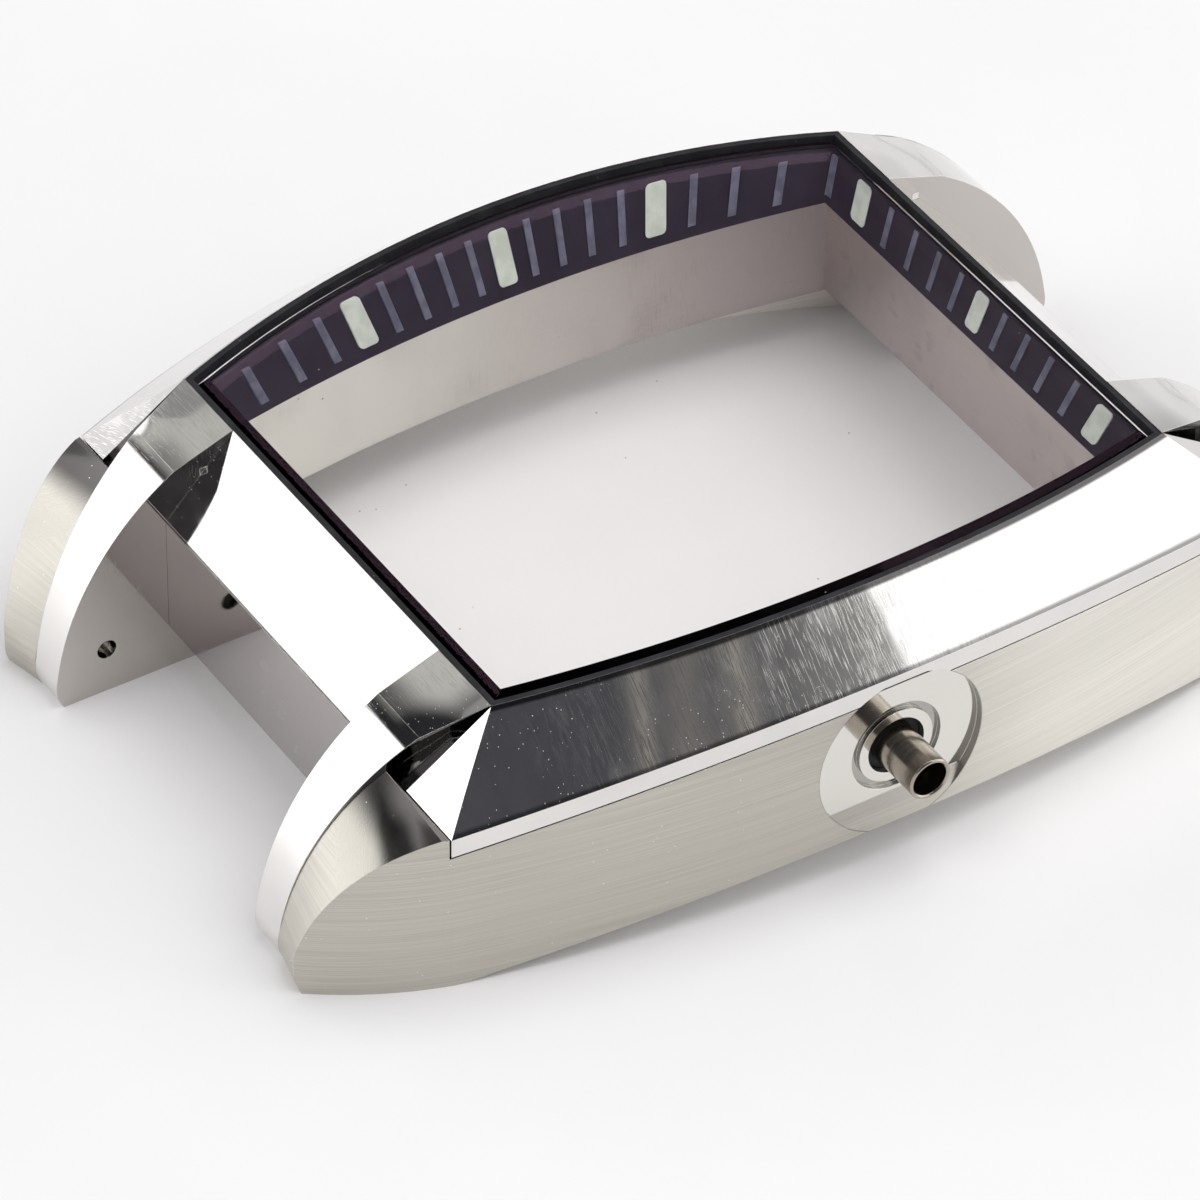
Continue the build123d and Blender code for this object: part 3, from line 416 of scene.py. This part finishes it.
def pocket_masks(f, spot):
    """Masks of the crown pocket's floor, of its groove and of its wall"""
    centre = f.vector("SUBTRACT", f.place, POCKET_CENTRE).outputs[0]
    flat = f.vector("MULTIPLY", centre, (0, 1, 1)).outputs[0]
    radius = f.vector("LENGTH", flat).outputs["Value"]
    floor_x = POCKET_CENTRE[0]
    low = f.inside(spot["X"], POCKET_INNER_X, floor_x + POCKET_SOFT, POCKET_SOFT / 2)
    low = f.product(low, f.remap(radius, POCKET_RADIUS, POCKET_RADIUS - 1.5 * POCKET_SOFT))
    groove = f.product(
        low,
        f.remap(spot["X"], floor_x - POCKET_SOFT, floor_x - 2 * POCKET_SOFT),
        f.remap(radius, GROOVE_RADIUS - 1.5 * POCKET_SOFT, GROOVE_RADIUS),
    )
    wall = f.product(
        f.inside(radius, POCKET_RADIUS - POCKET_SOFT, POCKET_RADIUS + POCKET_SOFT, POCKET_SOFT / 2),
        f.remap(spot["X"], floor_x, floor_x + POCKET_SOFT),
    )
    return low, groove, wall


def brushed_steel():
    """Steel brushed along the case, with a polished floor in the crown's pocket, painted light towards +y,
    and painted shade on the lugs' shoulders, in the pocket's groove and on its wall
    """
    f = Finish("brushed_steel_look")
    normal, edge = f.rounded(CHEEK_ROUNDING)
    spot = f.split(f.place)
    pocket, groove, wall = pocket_masks(f, spot)
    brushed = f.math("SUBTRACT", 1.0, pocket)
    streak = f.product(f.grain(BRUSH_COARSE), 0.45)
    streak = f.math("MULTIPLY_ADD", f.grain(BRUSH_FINE), 0.85, streak)
    cloud = f.noise(BRUSH_CLOUDS, 2.0)
    marks = f.hairlines(CHEEK_MARKS, 0.66, 0.76)
    specks = f.dust(2000.0, 0.08, 0.35)
    rough = f.math("MULTIPLY_ADD", cloud, 0.06, f.remap(streak, 0.4, 0.9, 0.27, 0.39))
    rough = f.product(rough, f.remap(f.lifted(), 0.0, 1.0, 1.0, 0.5))
    rough = f.product(rough, f.math("MULTIPLY_ADD", brushed, 0.8, 0.2))
    tone = f.blend(f.remap(streak, 0.4, 0.9), BRUSHED_DARK, BRUSHED_LIGHT)
    tone = f.blend(f.product(f.remap(cloud, 0.4, 0.7), 0.35), tone, BRUSHED_CLOUD)
    # Painted light: the flank lighter towards +y
    lit_tone = f.blend(f.remap(streak, 0.4, 0.9), LIT_FLANK_DARK, LIT_FLANK_LIGHT)
    tone = f.blend(f.remap(spot["Y"], LIT_FLANK_FROM, LIT_FLANK_TO), tone, lit_tone)
    # Painted shade on the upward-facing shoulder of the cheeks' lugs
    shoulder = f.inside(f.math("ABSOLUTE", spot["Y"]), SHOULDER_FROM, SHOULDER_TO, SHOULDER_SOFT)
    upward = f.remap(f.split(f.facing)["Z"], 0.15, 0.35)
    tone = f.blend(f.product(shoulder, 0.95, upward), tone, SHOULDER_SHADE)
    tone = f.blend(pocket, tone, POCKET_FLOOR)
    # Painted shade in the pocket's groove and on its wall
    tone = f.blend(f.product(groove, 0.5), tone, GROOVE_SHADE)
    tone = f.blend(f.product(wall, 0.75), tone, POCKET_WALL_SHADE)
    tone = f.blend(f.product(edge, 0.6), tone, CHEEK_EDGE)
    tone = f.blend(f.product(specks, 0.8), tone, SPECK)
    height = f.product(f.math("MULTIPLY_ADD", marks, -0.5, streak), brushed)
    height = f.math("MULTIPLY_ADD", specks, 0.6, height)
    f.principled(
        {
            "Base Color": tone,
            "Metallic": 1.0,
            "Roughness": rough,
            "Anisotropic": 0.5,
            "Tangent": f.add("ShaderNodeTangent", direction_type="RADIAL", axis="X").outputs[0],
            "Normal": f.bump(height, BRUSHED_RELIEF, normal),
        }
    )
    return f.material


def turned_steel(name, dark, light, axis):
    """Steel with fine rings round an axis"""
    f = Finish(name)
    normal, edge = f.rounded(TURNED_ROUNDING)
    scale = [RINGS_ROUND] * 3
    scale[axis] = RINGS_ALONG
    rings = f.noise(tuple(scale), 2.0, 0.6)
    cloud = f.noise(TURNED_CLOUDS, 2.0)
    tone = f.blend(f.remap(cloud, 0.35, 0.7), dark, light)
    f.principled(
        {
            "Base Color": f.blend(f.product(edge, 0.5), tone, TURNED_EDGE),
            "Metallic": 1.0,
            "Roughness": f.remap(f.math("ADD", rings, f.product(cloud, 0.4)), 0.4, 1.0, 0.14, 0.26),
            "Normal": f.bump(rings, TURNED_RELIEF, normal),
        }
    )
    return f.material


def black_rubber():
    """Rubber with a fine grain, a faint bloom and a little dust"""
    f = Finish("black_rubber_look")
    normal, _ = f.rounded(SOFT_ROUNDING)
    grain = f.noise(RUBBER_GRAIN, 4.0, 0.6)
    bloom = f.noise(RUBBER_BLOOM, 3.0)
    tone = f.blend(f.remap(bloom, 0.4, 0.75), RUBBER_DARK, RUBBER_LIGHT)
    tone = f.blend(f.product(f.dust(2200.0, 0.08, 0.3), 0.6), tone, RUBBER_SPECK)
    f.principled(
        {
            "Base Color": tone,
            "Roughness": f.remap(grain, 0.3, 0.7, 0.42, 0.68),
            "Specular IOR Level": 0.25,
            "Normal": f.bump(grain, RUBBER_RELIEF, normal),
        }
    )
    return f.material


def dark_flange():
    """Dark satin lacquer with a faint grain"""
    f = Finish("dark_flange_look")
    normal, edge = f.rounded(FLANGE_ROUNDING)
    grain = f.noise(FLANGE_GRAIN, 4.0, 0.65)
    cloud = f.noise(FLANGE_CLOUDS, 3.0)
    tone = f.blend(f.remap(cloud, 0.35, 0.7), FLANGE_DARK, FLANGE_LIGHT)
    tone = f.blend(f.product(f.remap(grain, 0.55, 0.75), 0.3), tone, FLANGE_GLINT)
    tone = f.blend(f.product(edge, 0.5), tone, FLANGE_EDGE)
    f.principled(
        {
            "Base Color": tone,
            "Roughness": f.remap(grain, 0.3, 0.7, 0.48, 0.62),
            "Specular IOR Level": 0.3,
            "Normal": f.bump(grain, FLANGE_RELIEF, normal),
        }
    )
    return f.material


def printed(name, low, high, rough_low, rough_high, edge_tone):
    """Thick paint with a fine grain and slightly rounded rims"""
    f = Finish(name)
    normal, edge = f.rounded(SOFT_ROUNDING)
    grain = f.noise(PAINT_GRAIN, 4.0, 0.6)
    tone = f.blend(f.remap(f.noise(PAINT_CLOUDS, 2.0), 0.35, 0.68), low, high)
    f.principled(
        {
            "Base Color": f.blend(f.product(edge, 0.55), tone, edge_tone),
            "Roughness": f.remap(grain, 0.3, 0.7, rough_low, rough_high),
            "Normal": f.bump(grain, PAINT_RELIEF, normal),
        }
    )
    return f.material


def sapphire():
    """Clear glass with a faint coating, which lets light through to what lies behind it"""
    f = Finish("sapphire_look")
    rough = f.remap(f.noise(GLASS_SMEARS, 3.0, 0.6), 0.5, 0.85, 0.0, 0.03)
    sheen = f.add("ShaderNodeLayerWeight", {"Blend": 0.435}).outputs["Fresnel"]
    coating = f.blend(f.remap(sheen, 0.13, 0.35), COATING, COATING_GRAZED)
    through = {"Color": GLASS_CLEAR, "Roughness": rough, "IOR": 1.77}
    through = f.add("ShaderNodeBsdfRefraction", through).outputs[0]
    mirrored = f.add("ShaderNodeBsdfAnisotropic", {"Color": coating, "Roughness": rough}).outputs[0]
    clear = f.add("ShaderNodeMixShader", {0: f.product(sheen, 0.16), 1: through, 2: mirrored}).outputs[0]
    passing = f.add("ShaderNodeBsdfTransparent", {"Color": GLASS_SHADOW}).outputs[0]
    shadow = f.add("ShaderNodeLightPath").outputs["Is Shadow Ray"]
    mixed = f.add("ShaderNodeMixShader", {0: shadow, 1: clear, 2: passing}).outputs[0]
    grit = f.add("ShaderNodeBsdfDiffuse", {"Color": GLASS_DUST}).outputs[0]
    dusty = f.add("ShaderNodeMixShader", {0: f.dust(700.0, 0.035, 0.35), 1: mixed, 2: grit})
    f.tree.links.new(dusty.outputs[0], f.output.inputs["Surface"])
    return f.material


finishes = {
    "polished_steel": polished_steel("polished_steel_look", bezel=True),
    "brushed_steel": brushed_steel(),
    "sapphire": sapphire(),
    "black_rubber": black_rubber(),
    "dark_flange": dark_flange(),
    "luminous_paint": printed("luminous_paint_look", HOUR_DARK, HOUR_LIGHT, 0.5, 0.75, HOUR_EDGE),
    "mark_paint": printed("mark_paint_look", MARK_DARK, MARK_LIGHT, 0.3, 0.5, MARK_EDGE),
    "tube_steel": turned_steel("tube_steel_look", TUBE_DARK, TUBE_LIGHT, 0),
    "screw_steel": turned_steel("screw_steel_look", SCREW_DARK, SCREW_LIGHT, 2),
}
folded_steel = polished_steel("lug_steel_look", crease=True)
hollow_steel = polished_steel("case_middle_steel_look", satin_inside=True)
for name, piece in cad.items():
    for socket in piece.material_slots:
        socket.material = finishes[socket.material.name.split(".")[0]]
    if name.startswith("lug_band"):
        piece.material_slots[0].material = folded_steel
cad["case_middle"].material_slots[0].material = hollow_steel


def floor(radius=6.0):
    """Pale disc, large enough to reach the horizon, which is seen from above only"""
    f = Finish("floor_look")
    paper = f.noise(PAPER_CLOUDS, 4.0)
    paper_shader = f.principled(
        {
            "Base Color": f.blend(f.remap(paper, 0.3, 0.7), PAPER_DARK, PAPER_LIGHT),
            "Roughness": f.remap(paper, 0.3, 0.7, 0.20, 0.26),
            "IOR": 1.35,
            "Normal": f.bump(f.noise(PAPER_GRAIN, 3.0), FLOOR_RELIEF, strength=0.4),
        }
    )
    under = f.add("ShaderNodeNewGeometry").outputs["Backfacing"]
    under = f.math("MAXIMUM", under, f.add("ShaderNodeLightPath").outputs["Transparent Depth"])
    clear = f.add("ShaderNodeBsdfTransparent").outputs[0]
    shown = f.add("ShaderNodeMixShader", {0: under, 1: paper_shader.outputs[0], 2: clear})
    f.tree.links.new(shown.outputs[0], f.output.inputs["Surface"])
    mesh = bpy.data.meshes.new("floor")
    shape = bmesh.new()
    bmesh.ops.create_circle(shape, cap_ends=True, radius=radius, segments=96)
    shape.to_mesh(mesh)
    shape.free()
    mesh.materials.append(f.material)
    made = bpy.data.objects.new("floor", mesh)
    made.location.z = cad_box[0][2]
    scene.collection.objects.link(made)


def facing_matrix(azimuth, elevation, distance):
    """Placing of a lamp or card that faces the object from a direction, given in degrees"""
    a, e = math.radians(azimuth), math.radians(elevation)
    place = Vector((math.cos(a) * math.cos(e), math.sin(a) * math.cos(e), math.sin(e))) * distance
    turn = (-place).to_track_quat("-Z", "Y").to_matrix().to_4x4()
    return Matrix.Translation(place) @ turn


def softbox(name, azimuth, elevation, distance, width, height, level):
    """Lamp whose face has the given brightness, where 1 is white"""
    lamp = bpy.data.lights.new(name, "AREA")
    lamp.shape = "RECTANGLE"
    lamp.size = width
    lamp.size_y = height
    lamp.energy = level * math.pi * width * height
    made = bpy.data.objects.new(name, lamp)
    made.matrix_world = facing_matrix(azimuth, elevation, distance)
    made.visible_camera = False
    scene.collection.objects.link(made)


def card_look(name, dark, fade, glows):
    """Dark card that turns pale to one side and has a few soft glows"""
    f = Finish(name + "_look")
    cloud = f.noise(CARD_CLOUDS, 2.0)
    tone = f.blend(f.remap(cloud, 0.35, 0.7), dark, tuple(1.35 * v for v in dark[:3]) + (1,))
    tone = f.blend(f.remap(f.split(f.place)["X"], *fade), tone, CARD_PALE)
    for side, up, half_width, half_height, share in glows:
        away = f.vector("SUBTRACT", f.place, (side, up, 0)).outputs[0]
        away = f.vector("MULTIPLY", away, (1 / half_width, 1 / half_height, 0)).outputs[0]
        away = f.math("MULTIPLY_ADD", cloud, 0.8, f.vector("LENGTH", away).outputs["Value"])
        tone = f.blend(f.remap(away, 0.5, 1.6, share, 0.0), tone, CARD_GLOW)
    f.principled({"Base Color": tone, "Roughness": 0.9})
    return f.material


def flag(name, azimuth, elevation, distance, width, height, dark, fade, glows=()):
    """Dark card that the polished steel mirrors, as a camera and its stand would be"""
    x, y = width / 2, height / 2
    mesh = bpy.data.meshes.new(name)
    mesh.from_pydata([(-x, -y, 0), (x, -y, 0), (x, y, 0), (-x, y, 0)], [], [(0, 1, 2, 3)])
    mesh.materials.append(card_look(name, dark, fade, glows))
    made = bpy.data.objects.new(name, mesh)
    made.matrix_world = facing_matrix(azimuth, elevation, distance)
    made.visible_camera = False
    made.visible_diffuse = False
    made.visible_shadow = False
    scene.collection.objects.link(made)


floor()

# Lamps: azimuth and elevation in degrees, distance, width, height and brightness
softbox("left_softbox", -135, 18, 1.0, 1.5, 0.75, 1.15)
softbox("right_softbox", 71, 26, 1.0, 1.05, 1.0, 1.15)
softbox("top_softbox", 72, 73, 1.5, 1.16, 1.16, 2.3)
softbox("camera_softbox", -8, 38, 1.4, 1.5, 0.9, 0.75)
softbox("front_softbox", -92, 57, 1.1, 0.42, 0.42, 2.0)

# Each glow on a card: place to the side and up, half width, half height and strength
CARD_GLOWS = ((0.226, 0.216, 0.03, 0.09, 0.5), (0.43, 0.2, 0.035, 0.035, 0.7), (0.31, 0.17, 0.08, 0.06, 0.3))
flag("camera_flag", -12, 42, 1.2, 2.2, 1.0, CARD_DARK, (0.3, 1.2), CARD_GLOWS)
flag("left_flag", -137, 51, 1.3, 1.2, 0.54, CARD_BLACK, (-0.2, -0.46))

# World, pale at the horizon and greyer above
world = bpy.data.worlds.new("studio")
scene.world = world
world.use_nodes = True
tree = world.node_tree
tree.nodes.clear()
direction = tree.nodes.new("ShaderNodeTexCoord")
parts = tree.nodes.new("ShaderNodeSeparateXYZ")
ramp = tree.nodes.new("ShaderNodeValToRGB")
sky = tree.nodes.new("ShaderNodeBackground")
out = tree.nodes.new("ShaderNodeOutputWorld")
tree.links.new(direction.outputs["Generated"], parts.inputs[0])
tree.links.new(parts.outputs["Z"], ramp.inputs[0])
tree.links.new(ramp.outputs[0], sky.inputs["Color"])
tree.links.new(sky.outputs[0], out.inputs["Surface"])
for stop, position, colour in zip(ramp.color_ramp.elements, (0.12, 0.45), (SKY_LOW, SKY_HIGH)):
    stop.position = position
    stop.color = colour

# Camera, fitted to the photograph. Its offsets are in millimetres.
FIT_AZIMUTH, FIT_ELEVATION, FIT_ROLL = (math.radians(v) for v in (57.188, 40.437, 0.747))
FIT_SIDE, FIT_UP, FIT_DISTANCE = -3.318, -8.967, 369.132
FIT_SCALE = 0.9925
FIT_HEIGHT = 10.1
forward = Vector(
    (
        -math.sin(FIT_AZIMUTH) * math.cos(FIT_ELEVATION),
        math.cos(FIT_AZIMUTH) * math.cos(FIT_ELEVATION),
        -math.sin(FIT_ELEVATION),
    )
)
right = Vector((math.cos(FIT_AZIMUTH), math.sin(FIT_AZIMUTH), 0))
upward = right.cross(forward)
side = right * math.cos(FIT_ROLL) + upward * math.sin(FIT_ROLL)
top = -right * math.sin(FIT_ROLL) + upward * math.cos(FIT_ROLL)
place = (side * FIT_SIDE + top * FIT_UP - forward * FIT_DISTANCE) * FIT_SCALE + Vector((0, 0, FIT_HEIGHT))
place *= MM
lens = bpy.data.cameras.new("photo_camera")
lens.lens = 240.0
lens.sensor_width = 36.0
lens.clip_start = 0.01
lens.clip_end = 50.0
camera = bpy.data.objects.new("photo_camera", lens)
pose = Matrix((side, top, -forward)).transposed().to_4x4()
pose.translation = place
camera.matrix_world = pose
scene.collection.objects.link(camera)
scene.camera = camera

scene.view_settings.view_transform = "Standard"

bpy.context.view_layer.update()
